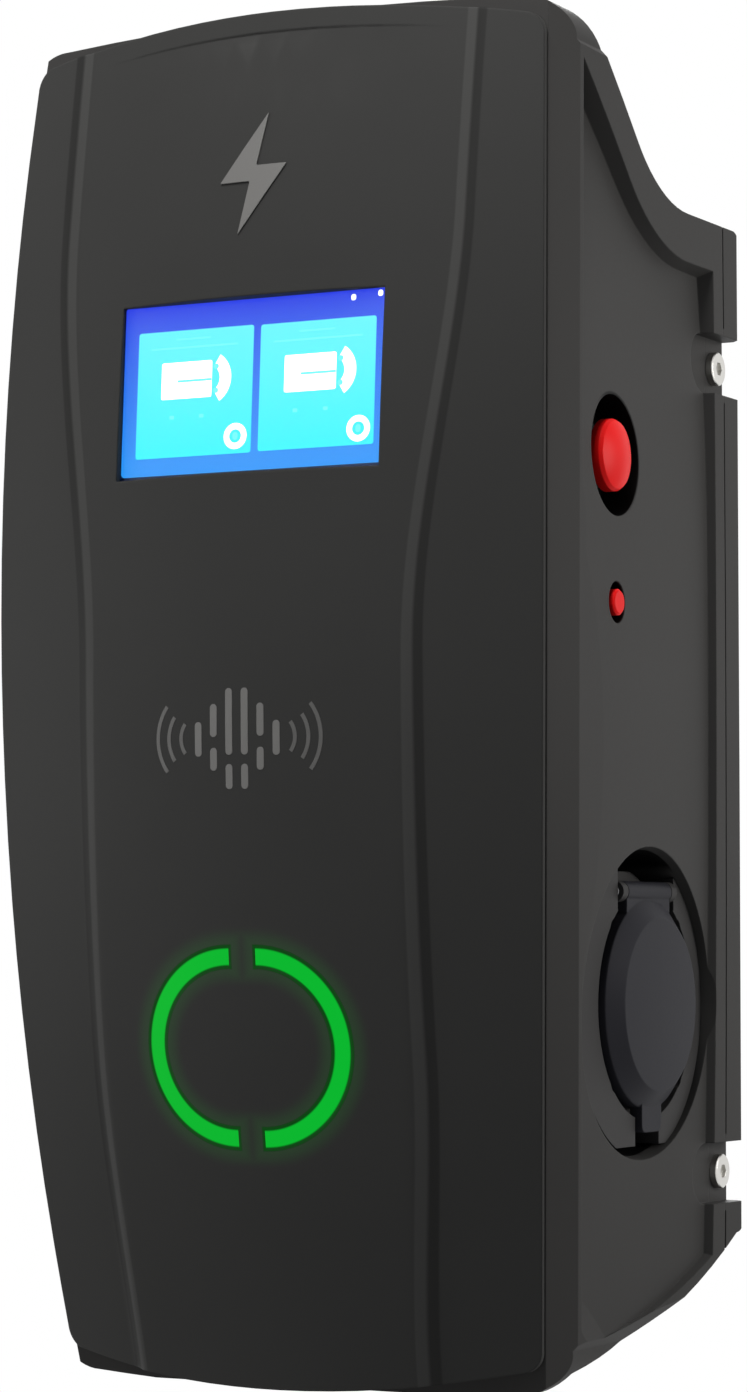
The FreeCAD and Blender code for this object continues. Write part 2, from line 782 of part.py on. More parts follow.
def front_cover():
    outer = cover_block()
    shape = outer.common(cover_outline(0)).cut(behind_bow(-cover_gap))
    shape = shape.cut(cover_hollow().common(cover_outline(cover_rim)))
    width, height = window_width + 2 * window_ledge, window_height + 2 * window_ledge
    pane_rear = window_face + window_thick
    collar = display_box(width + 2 * collar_wall, height + 2 * collar_wall, -ahead, pane_rear + 2.5)
    extra = [collar.common(outer)]
    for x, z in lug_points():
        extra.append(rod_y(cover_boss_size, x, -ahead, front_y(z) + cover_lug_sink, z).common(outer))
    for height_z, wide, tall, depth in flat_boards:
        for x, z in board_points(wide, tall):
            extra.append(rod_y(board_boss, x, -ahead, -depth, height_z + z).common(outer))
    board_face = pane_rear + module_thick
    for x, z in window_screw_points():
        boss = rod_y(board_boss, x, -ahead, board_face, display_height + z)
        extra.append(tilted(boss).common(outer))
    shape = shape.fuse(extra)
    cuts = [display_box(window_width, window_height, -ahead, pane_rear),
            display_box(width + 0.4, height + 0.4, window_face, pane_rear + 10)]
    for x, z in lug_points():
        cuts.append(rod_y(cover_screw - 0.7, x, front_y(z) - 4.5, front_y(z) + 10, z))
    for height_z, wide, tall, depth in flat_boards:
        for x, z in board_points(wide, tall):
            cuts.append(rod_y(board_screw - 0.1, x, -depth - 5, -depth + 1, height_z + z))
    for x, z in window_screw_points():
        hole = rod_y(board_screw - 0.1, x, board_face - 5, board_face + 1, display_height + z)
        cuts.append(tilted(hole))
    cuts += [light_arc(side, 0) for side in (-1, 1)]
    shape = shape.cut(cuts)
    return max(shape.Solids, key=lambda solid: solid.Volume)


def cover_gasket():
    layer = behind_bow(-cover_gap + 0.3).cut(behind_bow(-0.3))
    ring = cover_outline(3).cut(cover_outline(7))
    return layer.common(ring).Solids[0]


def cover_screws():
    screw = cap_screw(cover_screw - 0.8, 11.0, 7.0, 3.0, 2.5)
    rear = cover_lug_sink + cover_lug_thick + 3.0
    return group([turned(screw, (0, 1, 0), (x, front_y(z) + rear, z)) for x, z in lug_points()])


def rounded_plate(width, tall, y0, y1, height_z, radius):
    plate = box(-width / 2, width / 2, y0, y1, height_z - tall / 2, height_z + tall / 2)
    corners = [e for e in plate.Edges if e.BoundBox.YLength > y1 - y0 - 0.01]
    return plate.makeFillet(radius, corners)


def display_window():
    width, height = window_width + 2 * window_ledge, window_height + 2 * window_ledge
    rear = window_face + window_thick
    return tilted(rounded_plate(width, height, window_face, rear, display_height, window_radius))


def display_module():
    y0 = window_face + window_thick
    width, height = window_width + window_ledge, window_height + window_ledge
    return tilted(rounded_plate(width, height, y0, y0 + module_thick, display_height, 1.0))


def board(width, tall, y0, height_z, chips):
    """Circuit board with its screw holes and a few raised parts: (x, z, width, height, thickness)."""
    plate = rounded_plate(width, tall, y0, y0 + board_thick, height_z, 2.0)
    holes = [rod_y(board_screw + 0.5, x, y0 - 1, y0 + 5, height_z + z) for x, z in board_points(width, tall)]
    plate = plate.cut(holes)
    rear = y0 + board_thick
    for x, z, wide, high, thick in chips:
        z0 = height_z + z - high / 2
        plate = plate.fuse(box(x - wide / 2, x + wide / 2, rear, rear + thick, z0, z0 + high))
    return plate.removeSplitter()


def display_board():
    face = window_face + window_thick + module_thick
    chips = [(-30, 10, 24, 24, 2), (14, 12, 16, 16, 2), (0, -32, 60, 8, 6), (46, 0, 12, 30, 5)]
    return tilted(board(display_board_width, display_board_height, face, display_height, chips))


def control_board():
    chips = [(-22, 2, 20, 20, 2), (6, 4, 14, 14, 2), (30, -4, 10, 28, 6), (0, -16, 30, 6, 6)]
    return board(control_width, control_tall, -control_depth, control_height, chips)


def reader_board():
    chips = [(0, 6, 18, 18, 2), (0, -18, 24, 6, 5)]
    return board(reader_width, reader_tall, -reader_depth, reader_height, chips)


def light_board():
    chips = [(0, 0, 16, 16, 2), (0, -34, 20, 6, 5)]
    return board(light_board_size, light_board_size, -light_board_depth, light_height, chips)


def board_screws():
    screw = cap_screw(board_screw - 0.2, 6.0, 5.0, 2.0, 2.0)
    shapes = []
    for height_z, wide, tall, depth in flat_boards:
        for x, z in board_points(wide, tall):
            shapes.append(turned(screw, (0, 1, 0), (x, -depth + board_thick + 2, height_z + z)))
    face = window_face + window_thick + module_thick + board_thick
    for x, z in window_screw_points():
        spot = turned(screw, (0, 1, 0), (x, face + 2, display_height + z))
        shapes.append(tilted(Part.Compound([spot])).Solids[0])
    return group(shapes)


def light_guide(side):
    lens = light_arc(side, fit_gap).common(cover_block())
    return lens.cut(box(-80, 80, -light_board_depth, 50, -250, 0)).Solids[0]


# Sockets: built for the right side, mirrored for the left

def ring_x(outer, inner, x0, x1):
    shape = rod_x(outer, x0, x1, -socket_depth, socket_height)
    return shape.cut(rod_x(inner, x0 - 1, x1 + 1, -socket_depth, socket_height)) if inner else shape


def hinge_height():
    return socket_height + hinge_above


def dome_x(radius, rise, tip_x, y, z):
    """Ball whose surface rises by the stated amount over a disc of the stated radius."""
    ball = (radius ** 2 + rise ** 2) / (2 * rise)
    return Part.makeSphere(ball, Vector(tip_x - ball, y, z))


def ear_spans(near, far):
    return [(-socket_depth + near, -socket_depth + far), (-socket_depth - far, -socket_depth - near)]


def contact_places():
    return [(y, z, power_contact) for y, z in power_places] + [(y, z, signal_contact) for y, z in signal_places]


def barrel_start():
    return barrel_end - barrel_length - 5.6


def socket_surround():
    """Raised ring that fills the pocket round the flap, open at the hinge and at the finger tab."""
    low, high = socket_height - surround_flat, socket_height + surround_flat
    band = box(flange_front_x - 1, surround_front_x, -200, 0, low, high)
    ring = socket_pocket(-surround_gap).common(band)
    ring = ring.cut(rod_x(surround_inner, 0, 200, -socket_depth, socket_height))
    hinge = hinge_reach + 1
    tab = tab_width / 2 + 2
    cuts = [box(0, 200, -socket_depth - hinge, -socket_depth + hinge, socket_height + flap_size / 2 - 4, 0),
            box(0, 200, -socket_depth - tab, -socket_depth + tab, -300, socket_height - flap_size / 2)]
    return ring.cut(cuts)


def socket_body():
    start = barrel_start()
    square = box(0, 200, -socket_depth - flange_flat, -socket_depth + flange_flat,
                 socket_height - flange_flat, socket_height + flange_flat)
    flange = ring_x(flange_size, 0, pocket_floor_x, flange_front_x)
    front_edges = [e for e in flange.Edges if e.BoundBox.XMin > flange_front_x - 0.01]
    flange = flange.makeChamfer(1.5, front_edges).common(square)
    extra = [ring_x(barrel_outer, 0, start, barrel_end)]
    half = hinge_knuckle / 2
    for y0, y1 in ear_spans(hinge_ear_near, hinge_reach):
        extra.append(rod_y(hinge_knuckle, hinge_x, y0, y1, hinge_height()))
        extra.append(box(flange_front_x - 1, hinge_x, y0, y1, hinge_height() - half, hinge_height() + half))
    shape = flange.fuse(extra + [socket_surround()])
    cuts = [ring_x(barrel_inner, 0, start + 3, barrel_end + 1)]
    cuts.append(rod_y(hinge_pin_size + 0.04, hinge_x, -socket_depth - hinge_reach, -socket_depth + hinge_reach,
                      hinge_height()))
    cuts.append(rod_z(lock_pin_size + 0.1, lock_x, -socket_depth, socket_height + 25, socket_height + 45))
    for y, z in flange_screw_points():
        cuts.append(rod_x(flange_screw + 0.4, 80, 120, y, z))
        cuts.append(rod_x(8.5, flange_front_x - 5, 120, y, z))
    for y, z, size in contact_places():
        tail = size / 2 + contact_tail + 0.2
        cuts.append(rod_x(tail, start - 1, start + 5, -socket_depth + y, socket_height + z))
    return shape.cut(cuts).Solids[0]


def socket_insert():
    floor = barrel_start() + 3
    front = flange_front_x - insert_front
    shape = ring_x(insert_size, 0, floor, front)
    edge = [e for e in shape.Edges if e.BoundBox.XMin > front - 0.01]
    shape = shape.makeChamfer(1.0, edge)
    cuts = []
    for y, z, size in contact_places():
        place = (-socket_depth + y, socket_height + z)
        cuts.append(rod_x(1.5 * size + 0.1, floor - 1, front - 2, *place))
        cuts.append(rod_x(size + 0.6, floor, front + 1, *place))
    return shape.cut(cuts).Solids[0]


def socket_contacts():
    floor = barrel_start() + 3
    front = flange_front_x - insert_front - 2.1
    shapes = []
    for y, z, size in contact_places():
        place = (-socket_depth + y, socket_height + z)
        tail = rod_x(size / 2 + contact_tail, floor - 12, floor + 2, *place)
        sleeve = rod_x(1.5 * size, floor + 0.1, front, *place).fuse(tail)
        shapes.append(sleeve.cut(rod_x(size, floor + 12, front + 1, *place)).Solids[0])
    return group(shapes)


def socket_screws():
    screw = cap_screw(flange_screw - 0.7, 14.0, 7.0, 3.5, 3.0)
    x = flange_front_x - 5 + 3.5
    return group([turned(screw, (1, 0, 0), (x, y, z)) for y, z in flange_screw_points()])


def flap():
    """Lid with a bevelled edge and a seal groove, a hinge barrel at the top and a finger tab at the bottom."""
    radius = flap_size / 2
    edge_x = flap_front_x - flap_bevel
    centre = Vector(edge_x, -socket_depth, socket_height)
    lid = ring_x(flap_size, 0, flap_back_x, edge_x)
    lid = lid.fuse(Part.makeCone(radius, radius - flap_edge, flap_bevel, centre, Vector(1, 0, 0)))
    lid = lid.common(dome_x(radius, flap_dome, flap_front_x, -socket_depth, socket_height))
    y0, y1 = -socket_depth - hinge_lug_half, -socket_depth + hinge_lug_half
    extra = [rod_y(hinge_knuckle, hinge_x, y0, y1, hinge_height()),
             box(hinge_x - 3, hinge_x + 3, y0, y1, hinge_height() - 12, hinge_height())]
    tab = box(flap_back_x + 2, flap_back_x + 7, -socket_depth - tab_width / 2, -socket_depth + tab_width / 2,
              tab_low, socket_height - radius + 6)
    corners = [e for e in tab.Edges if e.BoundBox.XLength > 4 and e.BoundBox.ZMax < tab_low + 1]
    extra.append(tab.makeFillet(3.0, corners))
    shape = lid.fuse(extra)
    cuts = [ring_x(flap_pocket, 0, flap_back_x - 1, flap_front_x - 3.5)]
    cuts.append(ring_x(seal_outer + 0.2, seal_inner - 0.2, flap_back_x - 1, flap_back_x + seal_deep))
    cuts.append(rod_y(hinge_pin_size + 0.1, hinge_x, y0 - 1, y1 + 1, hinge_height()))
    return shape.cut(cuts).Solids[0]


def flap_seal():
    return ring_x(seal_outer, seal_inner, flap_back_x - 0.1, flap_back_x + seal_deep)


def hinge_pin():
    y0, y1 = -socket_depth - hinge_reach, -socket_depth + hinge_reach
    return rod_y(hinge_pin_size, hinge_x, y0, y1, hinge_height())


def lock_motor():
    half = lock_width / 2
    low = socket_height + 27
    shape = box(lock_x - 12, lock_x + 12, -socket_depth - half, -socket_depth + half, low, lock_high)
    shape = shape.cut(ring_x(barrel_outer + 0.1, 0, lock_x - 20, lock_x + 20))
    cap = rod_z(16, lock_x, -socket_depth, lock_high - 1, lock_high + 10)
    pin_top = socket_height + barrel_inner / 2 + 20
    bore = rod_z(lock_pin_size + 0.1, lock_x, -socket_depth, -120, pin_top + 0.1)
    return shape.fuse(cap).cut(bore).Solids[0]


def lock_pin():
    tip = socket_height + barrel_inner / 2
    pin = rod_z(lock_pin_size, lock_x, -socket_depth, tip, tip + 20)
    return pin.makeChamfer(0.8, [e for e in pin.Edges if e.BoundBox.ZMax < tip + 0.01])


# Emergency stop and reset button

def stop_rod(size, x0, x1):
    return rod_x(size, x0, x1, -stop_depth, stop_height)


def stop_collar():
    flange = stop_rod(stop_flange, stop_floor_x, stop_floor_x + 3)
    flange = flange.makeChamfer(1.0, [e for e in flange.Edges if e.BoundBox.XMin > stop_floor_x + 2.9])
    shape = flange.fuse(stop_rod(stop_tube, stop_floor_x - 18, stop_floor_x))
    return shape.cut(stop_rod(stem_size + 0.1, 0, 200)).Solids[0]


def nut_x(across, bore, x0, x1, y, z):
    nut = turned(hexagon(across, x1 - x0, 0), (1, 0, 0), (x0, y, z))
    return nut.cut(rod_x(bore, x0 - 1, x1 + 1, y, z))


def stop_nut():
    far = stop_floor_x - wall
    return nut_x(30.0, stop_tube + 0.1, far - 6, far, -stop_depth, stop_height)


def contact_block(size, x0, x1, y, z):
    shape = box(x0, x1, y - size / 2, y + size / 2, z - size / 2, z + size / 2)
    shape = shape.makeChamfer(size / 20, shape.Edges)
    wells = []
    for dy in (-size / 4, size / 4):
        for dz in (-size / 4, size / 4):
            wells.append(rod_x(size / 6, x0 - 1, x0 + size / 8, y + dy, z + dz))
    return shape.cut(wells)


def stop_block():
    return contact_block(30.0, 68.0, stop_floor_x - 18, -stop_depth, stop_height)


def stop_stem():
    neck = stop_front_x - stop_head_thick
    stem = stop_rod(stem_size, stop_floor_x - 11, neck - 0.3)
    return stem.fuse(stop_rod(stop_tip, neck - 1, neck + 5)).removeSplitter()


def stop_head():
    """Mushroom head: low dome over a rounded rim, blind bore for the stem."""
    back = stop_front_x - stop_head_thick
    head = stop_rod(head_size, back, stop_front_x)
    head = head.makeChamfer(0.8, [e for e in head.Edges if e.BoundBox.XMax < back + 0.01])
    head = head.common(dome_x(head_size / 2, stop_dome, stop_front_x, -stop_depth, stop_height)).Solids[0]
    rim = [e for e in head.Edges if abs(e.BoundBox.XMin - stop_front_x + stop_dome) < 0.01]
    head = head.makeChamfer(1.0, rim)
    return head.cut(stop_rod(stop_tip + 0.1, back - 1, back + 5.1)).Solids[0]


def reset_rod(size, x0, x1):
    return rod_x(size, x0, x1, -stop_depth, reset_height)


def reset_bezel():
    shape = reset_rod(reset_recess - 0.4, reset_floor_x, reset_floor_x + 2.5)
    shape = shape.fuse(reset_rod(reset_tube, reset_floor_x - 18, reset_floor_x))
    return shape.cut(reset_rod(reset_cap + 0.1, 0, 200)).Solids[0]


def reset_button():
    cap = reset_rod(reset_cap, reset_front_x - 12, reset_front_x)
    cap = cap.makeChamfer(0.8, [e for e in cap.Edges if e.BoundBox.XMin > reset_front_x - 0.01])
    return cap.fuse(reset_rod(reset_plunger, reset_floor_x - 14, reset_front_x - 11)).removeSplitter()


def reset_block():
    return contact_block(12.0, reset_floor_x - 32, reset_floor_x - 18, -stop_depth, reset_height)


# Cable gland

def gland_rod(size, z0, z1):
    return rod_z(size, gland_x, -gland_depth, z0, z1)


def gland_body():
    low = gland_floor - gland_hex_length
    hexa = hexagon(gland_nut_size - 2, gland_hex_length, 0)
    hexa.translate(Vector(gland_x, -gland_depth, low))
    shape = hexa.fuse([gland_rod(gland_thread, gland_floor, gland_floor + 13), gland_rod(30, low - 8, low)])
    return shape.cut([gland_rod(gland_cable + 2, low - 20, 0), gland_rod(24, low - 9, low + 3)]).Solids[0]


def gland_nut():
    z0 = gland_floor + 4
    nut = hexagon(gland_nut_size, 6.0, 0)
    nut.translate(Vector(gland_x, -gland_depth, z0))
    return nut.cut(gland_rod(gland_thread + 0.1, z0 - 1, z0 + 8))


def gland_seal():
    low = gland_floor - gland_hex_length
    return gland_rod(23.9, low - 11, low + 3).cut(gland_rod(gland_cable, low - 30, 0))


def gland_cap():
    high = gland_floor - gland_hex_length - 0.5
    low = high - gland_cap_length
    shape = gland_rod(gland_nut_size - 3, low, high)
    shape = shape.makeChamfer(3.0, [e for e in shape.Edges if e.BoundBox.ZMax < low + 0.01])
    return shape.cut([gland_rod(30.1, low + 5, high + 1), gland_rod(gland_cable + 2, low - 1, high)]).Solids[0]


# Chassis plate and the parts on it

def chassis_plate():
    y0, y1 = -chassis_depth - chassis_thick, -chassis_depth
    shape = box(-chassis_half, chassis_half, y0, y1, chassis_low, chassis_high)
    shape = shape.fuse(box(-chassis_half, chassis_half, y0 - 6, y0, chassis_high - 2, chassis_high))
    cuts = [rod_y(chassis_screw + 0.4, x, y0 - 1, y1 + 1, z) for x, z in chassis_posts]
    return shape.cut(cuts).removeSplitter()


def chassis_screws():
    screw = cap_screw(chassis_screw - 0.7, 10.0, 7.0, 3.0, 3.0)
    front = -chassis_depth - chassis_thick - 3
    return group([turned(screw, (0, -1, 0), (x, front, z)) for x, z in chassis_posts])


def din_rail():
    """Top-hat rail: base on the plate, two lips a little in front of it."""
    y = -chassis_depth - chassis_thick
    z = rail_height
    shape = box(-rail_half, rail_half, y - 1, y, z - 12.5, z + 12.5)
    for side in (-1, 1):
        low, high = sorted((z + side * 11.5, z + side * 12.5))
        shape = shape.fuse(box(-rail_half, rail_half, y - 7.5, y, low, high))
        low, high = sorted((z + side * 11.5, z + side * 17.5))
        shape = shape.fuse(box(-rail_half, rail_half, y - 7.5, y - 6.5, low, high))
    return shape.removeSplitter()


def rail_device(x0, x1):
    """Device on the rail: stepped front, hooks behind the lips, terminal wells at both ends."""
    y = -chassis_depth - chassis_thick - 7.5
    z = rail_height
    front, ends = y - rail_device_deep, y - rail_device_deep + 16
    outline = [(y, z - 42), (ends, z - 42), (ends, z - 22), (front, z - 22), (front, z + 22),
               (ends, z + 22), (ends, z + 42), (y, z + 42), (y, z + 21), (y + 4, z + 21), (y + 4, z + 17.7),
               (y, z + 17.7), (y, z - 17.7), (y + 4, z - 17.7), (y + 4, z - 21), (y, z - 21), (y, z - 42)]
    face = Part.Face(Part.makePolygon([Vector(x0, a, b) for a, b in outline]))
    shape = face.extrude(Vector(x1 - x0, 0, 0))
    count = round((x1 - x0) / 18)
    cuts = []
    for i in range(count):
        x = x0 + (i + 0.5) * (x1 - x0) / count
        for side in (-1, 1):
            cuts.append(rod_y(6, x, ends - 1, ends + 8, z + side * 32))
            low, high = sorted((z + side * 34, z + side * 43))
            cuts.append(box(x - 4, x + 4, ends + 14, ends + 22, low, high))
    return shape.cut(cuts)


def rcbo(side):
    low, high = sorted((side * 3, side * 39))
    shape = rail_device(low, high)
    return shape.cut(rod_x(lever_drum + 0.6, side * 14.8, side * 27.2, lever_y, rail_height)).Solids[0]


def rcbo_lever(side):
    shape = rod_x(lever_drum, side * 15, side * 27, lever_y, rail_height)
    low, high = sorted((side * 16, side * 26))
    half = lever_thick / 2
    handle = box(low, high, lever_y - 13, lever_y, rail_height - half, rail_height + half)
    handle.rotate(Vector(0, lever_y, rail_height), Vector(1, 0, 0), -lever_swing / 2)
    return shape.fuse(handle).removeSplitter()


def energy_meter():
    shape = rail_device(42, 78)
    front = -chassis_depth - chassis_thick - 7.5 - rail_device_deep
    return shape.cut(box(48, 72, front - 1, front + 1.5, rail_height + 2, rail_height + 14))


def contactor(side):
    low, high = sorted((side * 4, side * 49))
    y = -chassis_depth - chassis_thick
    base = box(low, high, y - 50, y, 4, 78)
    base = base.makeChamfer(1.0, [e for e in base.Edges if e.BoundBox.YLength > 40])
    nose = box(low + 5, high - 5, y - 68, y - 49, 20, 62)
    shape = base.fuse(nose.makeChamfer(1.5, nose.Edges))
    cuts = []
    for i in range(3):
        x = low + 9 + i * 13.5
        for z in (12, 70):
            cuts.append(box(x - 4, x + 4, y - 51, y - 40, z - 4, z + 4))
    return shape.cut(cuts).Solids[0]


def power_supply():
    y = -chassis_depth - chassis_thick
    shape = box(-40, 40, y - 38, y, -96, -30)
    shape = shape.makeChamfer(1.0, [e for e in shape.Edges if e.BoundBox.YLength > 30])
    slots = [box(-30, 30, y - 39, y - 36, -90 + 6 * i, -88 + 6 * i) for i in range(7)]
    wells = [rod_y(5, -32 + 8 * i, y - 39, y - 30, -38) for i in range(9)]
    return shape.cut(slots + wells)


def terminal_block():
    y = -chassis_depth - chassis_thick
    shape = box(-44, 44, y - 28, y, -148, -114)
    cuts = []
    for i in range(8):
        x = -38.5 + 11 * i
        cuts.append(rod_y(6, x, y - 29, y - 18, -124))
        cuts.append(rod_z(7, x, y - 14, -149, -134))
        cuts.append(box(x - 3, x + 3, y - 29, y - 20, -142, -132))
    cuts += [box(-45 + 11 * i - 0.4, -45 + 11 * i + 0.4, y - 29, y - 25, -149, -113) for i in range(1, 9)]
    return shape.cut(cuts)


def earth_bar():
    y = -chassis_depth - chassis_thick
    shape = box(-44, 44, y - 14, y - 8, -162, -153)
    feet = [box(x - 4, x + 4, y - 9, y, -162, -153) for x in (-40, 40)]
    shape = shape.fuse(feet).removeSplitter()
    return shape.cut([rod_y(4, -30 + 10 * i, y - 15, y - 7, -157.5) for i in range(7)])


def write(shapes):
    os.makedirs("parts", exist_ok=True)
    for name, shape in shapes.items():
        shape.exportStep("parts/" + name + ".step")
        print(name, shape.isValid(), len(shape.Solids), round(shape.Volume / 1000, 1))


def pair(name, shape):
    return {name + "_right": shape, name + "_left": mirrored(shape)}


shapes = {"housing": housing(), "back_cover": back_cover(), "front_cover": front_cover(),
          "cover_gasket": cover_gasket(), "cover_screws": cover_screws(), "back_screws": back_screws(),
          "wall_bracket": wall_bracket(), "bracket_screws": bracket_screws()}
shapes.update({"display_window": display_window(), "display_module": display_module(),
               "display_board": display_board(), "control_board": control_board(),
               "reader_board": reader_board(), "light_board": light_board(), "board_screws": board_screws(),
               "light_guide_left": light_guide(-1), "light_guide_right": light_guide(1)})
for name, shape in (("socket_body", socket_body()), ("socket_insert", socket_insert()),
                    ("contacts", socket_contacts()), ("socket_screws", socket_screws()), ("flap", flap()),
                    ("flap_seal", flap_seal()), ("hinge_pin", hinge_pin()), ("lock_motor", lock_motor()),
                    ("lock_pin", lock_pin())):
    shapes.update(pair(name, shape))
shapes.update({"stop_collar": stop_collar(), "stop_nut": stop_nut(), "stop_block": stop_block(),
               "stop_stem": stop_stem(), "stop_head": stop_head(), "reset_bezel": reset_bezel(),
               "reset_cap": reset_button(), "reset_block": reset_block()})
shapes.update({"gland_body": gland_body(), "gland_nut": gland_nut(), "gland_seal": gland_seal(),
               "gland_cap": gland_cap(), "chassis_plate": chassis_plate(), "chassis_screws": chassis_screws(),
               "din_rail": din_rail(), "energy_meter": energy_meter(), "power_supply": power_supply(),
               "terminal_block": terminal_block(), "earth_bar": earth_bar()})
for side, end in ((-1, "left"), (1, "right")):
    shapes["rcbo_" + end] = rcbo(side)
    shapes["rcbo_lever_" + end] = rcbo_lever(side)
    shapes["contactor_" + end] = contactor(side)
write(shapes)
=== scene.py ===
import json
import math
import bpy
import bmesh
from mathutils import Matrix, Vector
from mathutils.bvhtree import BVHTree


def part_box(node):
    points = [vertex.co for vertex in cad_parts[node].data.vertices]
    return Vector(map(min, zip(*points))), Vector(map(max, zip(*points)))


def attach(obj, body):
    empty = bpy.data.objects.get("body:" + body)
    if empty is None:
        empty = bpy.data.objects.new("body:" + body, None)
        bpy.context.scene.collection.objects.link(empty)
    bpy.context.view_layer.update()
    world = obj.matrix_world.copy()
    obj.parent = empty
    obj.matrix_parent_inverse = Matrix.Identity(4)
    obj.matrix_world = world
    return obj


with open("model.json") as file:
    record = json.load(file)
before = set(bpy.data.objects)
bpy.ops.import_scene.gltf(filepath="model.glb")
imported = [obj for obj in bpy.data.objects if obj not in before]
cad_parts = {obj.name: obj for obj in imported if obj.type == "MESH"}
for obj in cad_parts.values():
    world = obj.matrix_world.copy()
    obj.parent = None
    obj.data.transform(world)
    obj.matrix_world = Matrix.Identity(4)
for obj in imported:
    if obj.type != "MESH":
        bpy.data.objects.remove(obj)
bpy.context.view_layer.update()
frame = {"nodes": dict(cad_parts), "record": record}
nodes = frame["nodes"]
print("frame loaded:", len(nodes), "nodes")


def addObject(name, data):
    made = bpy.data.objects.new(name, data)
    bpy.context.scene.collection.objects.link(made)
    return made


# Camera, at the photograph's place

camera = {
    "place": (0.7377, -1.4768, -0.0849),
    "azimuth": 28.0,
    "elevation": -3.45,
    "lens": 102.44,
    "sensor": 36.0,  # the long side, in mm
    "clip": (0.05, 60.0),
}


def makeCamera():
    data = bpy.data.cameras.new("camera")
    data.lens = camera["lens"]
    data.sensor_width = camera["sensor"]
    data.clip_start, data.clip_end = camera["clip"]
    view = addObject("camera", data)
    view.location = camera["place"]
    tilt = math.radians(90.0 - camera["elevation"])
    view.rotation_euler = (tilt, 0.0, math.radians(camera["azimuth"]))
    bpy.context.scene.camera = view


makeCamera()


# Helpers for shader nodes

def newMaterial(name):
    material = bpy.data.materials.new(name)
    material.use_nodes = True
    return material, material.node_tree, material.node_tree.nodes["Principled BSDF"]


def addNode(tree, kind, **settings):
    node = tree.nodes.new(kind)
    for key, value in settings.items():
        if key in node.inputs:
            node.inputs[key].default_value = value
        else:
            setattr(node, key, value)
    return node


def maths(tree, operation, first, second=0.0):
    node = addNode(tree, "ShaderNodeMath", operation=operation)
    for place, value in zip(node.inputs, (first, second)):
        if isinstance(value, float):
            place.default_value = value
        else:
            tree.links.new(value, place)
    return node.outputs["Value"]


def fade(tree, value, near, far, start=1.0, end=0.0, way="SMOOTHSTEP"):
    node = addNode(tree, "ShaderNodeMapRange", interpolation_type=way)
    tree.links.new(value, node.inputs["Value"])
    for name, number in (("From Min", near), ("From Max", far), ("To Min", start), ("To Max", end)):
        node.inputs[name].default_value = number
    return node.outputs["Result"]


def blend(tree, factor, first, second, way="MIX"):
    mix = addNode(tree, "ShaderNodeMix", data_type="RGBA", blend_type=way)
    tree.links.new(factor, mix.inputs["Factor"])
    for name, color in (("A", first), ("B", second)):
        if isinstance(color, bpy.types.NodeSocket):
            tree.links.new(color, mix.inputs[name])
        else:
            mix.inputs[name].default_value = [*color, 1.0]
    return mix.outputs["Result"]


def coordinates(tree, axes):
    place = addNode(tree, "ShaderNodeTexCoord")
    split = addNode(tree, "ShaderNodeSeparateXYZ")
    tree.links.new(place.outputs["Object"], split.inputs["Vector"])
    return [split.outputs[axis] for axis in axes]


def noise(tree, scale):
    place = addNode(tree, "ShaderNodeTexCoord")
    pattern = addNode(tree, "ShaderNodeTexNoise", Scale=scale)
    tree.links.new(place.outputs["Object"], pattern.inputs["Vector"])
    return pattern.outputs["Fac"]


def distance(tree, first, second):
    squares = [maths(tree, "POWER", side, 2.0) for side in (first, second)]
    return maths(tree, "SQRT", maths(tree, "ADD", *squares))


def tint(tree, color, drift, factor):
    deep = [channel * (1.0 - drift) for channel in color]
    pale = [min(1.0, channel * (1.0 + drift)) for channel in color]
    return blend(tree, factor, deep, pale)


# Paints shade into the base colour, mixing it toward a dark colour by the mask
def paintShade(material, mask, color):
    tree = material.node_tree
    target = tree.nodes["Principled BSDF"].inputs["Base Color"]
    plain = target.links[0].from_socket
    tree.links.new(blend(tree, mask, plain, color), target)


def glowBy(material, level, color):
    tree = material.node_tree
    shader = tree.nodes["Principled BSDF"]
    tree.links.new(blend(tree, level, (0.0, 0.0, 0.0), color), shader.inputs["Emission Color"])
    shader.inputs["Emission Strength"].default_value = 1.0


# Finishes, one for each material slot of the record

plainFinish = {  # what a finish has where it says nothing else
    "fine": 900.0,  # scale of the grain
    "broad": 14.0,  # scale of the slow drift of the colour
    "drift": 0.1,
    "spread": 0.06,  # of the roughness
    "bump": 0.15,
    "grainDepth": 0.00005,
    "edge": 0.0004,  # radius of the softened edges
    "metal": 0.0,
    "specular": 0.5,
}

